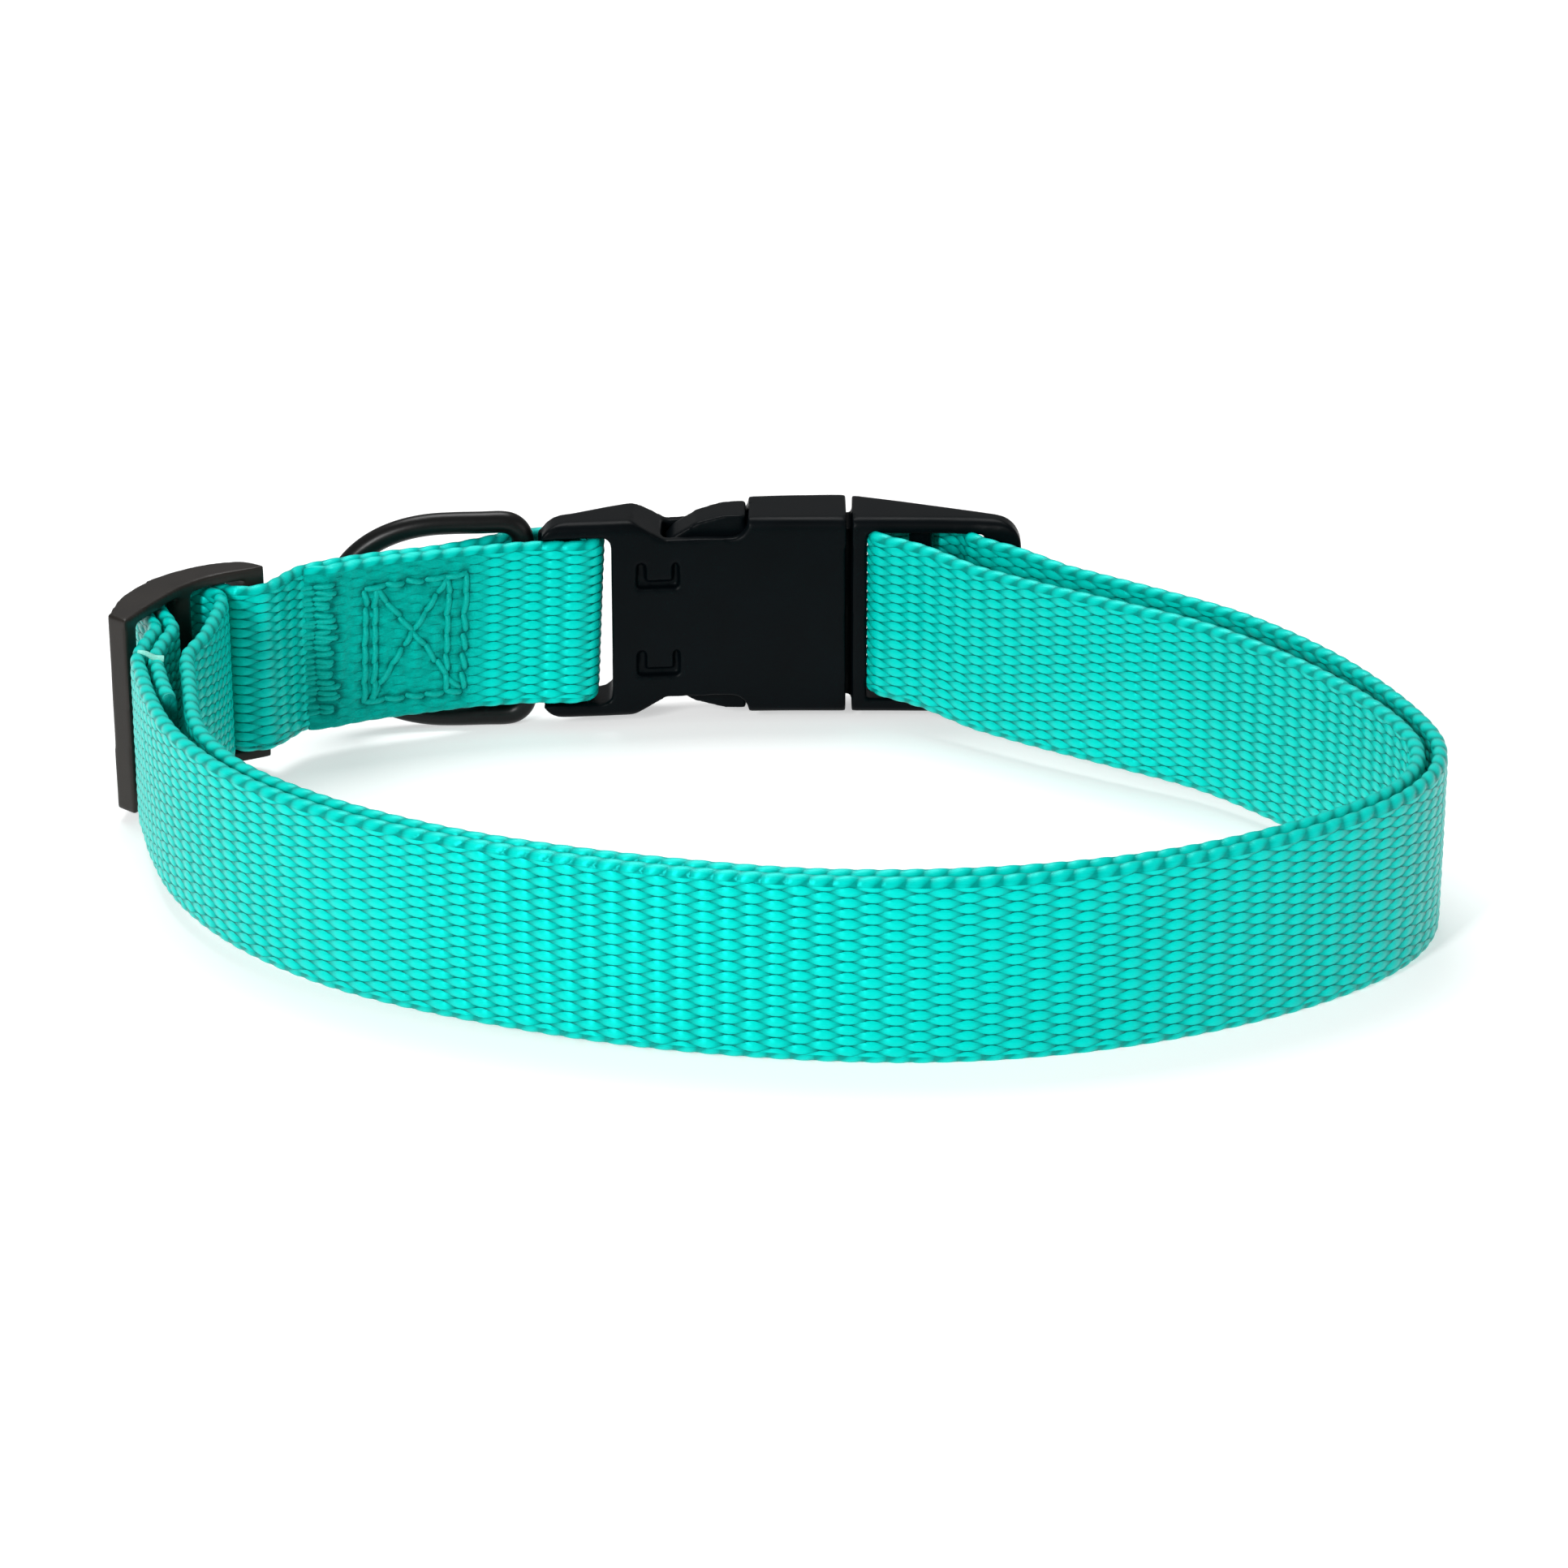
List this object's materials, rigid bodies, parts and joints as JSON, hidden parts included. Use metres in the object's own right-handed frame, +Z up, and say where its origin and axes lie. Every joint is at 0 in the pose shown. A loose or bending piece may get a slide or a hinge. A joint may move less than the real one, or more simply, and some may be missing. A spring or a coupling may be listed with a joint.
{
  "type": "dog collar",
  "caption": "Adjustable webbing dog collar with a fastened side-release buckle, a length slide and a D-ring, standing on its edge as a closed loop.",
  "frame": {"origin": "middle of the overall box, on the floor that the collar stands on", "axes": "+Z up across the webbing's width, +X to the right along the loop's long way, +Y away from the viewer towards the buckle"},
  "size_m": [0.1832, 0.1398, 0.0337],
  "materials": {
    "webbing": "satin",
    "buckle_plastic": "satin",
    "slide_plastic": "satin",
    "ring_metal": "satin"
  },
  "bodies": {
    "collar": {"strap": "webbing", "buckle_socket": "buckle_plastic", "buckle_plug": "buckle_plastic", "slide": "slide_plastic"},
    "ring": {"d_ring": "ring_metal"}
  },
  "joints": [
    {"name": "ring_swing", "type": "hinge", "parent": "collar", "child": "ring", "pos_m": [-0.03506, 0.05763, 0.01708], "axis": [-0.0108, 0.03, -0.9995], "range_deg": [-6.5, 90]}
  ]
}
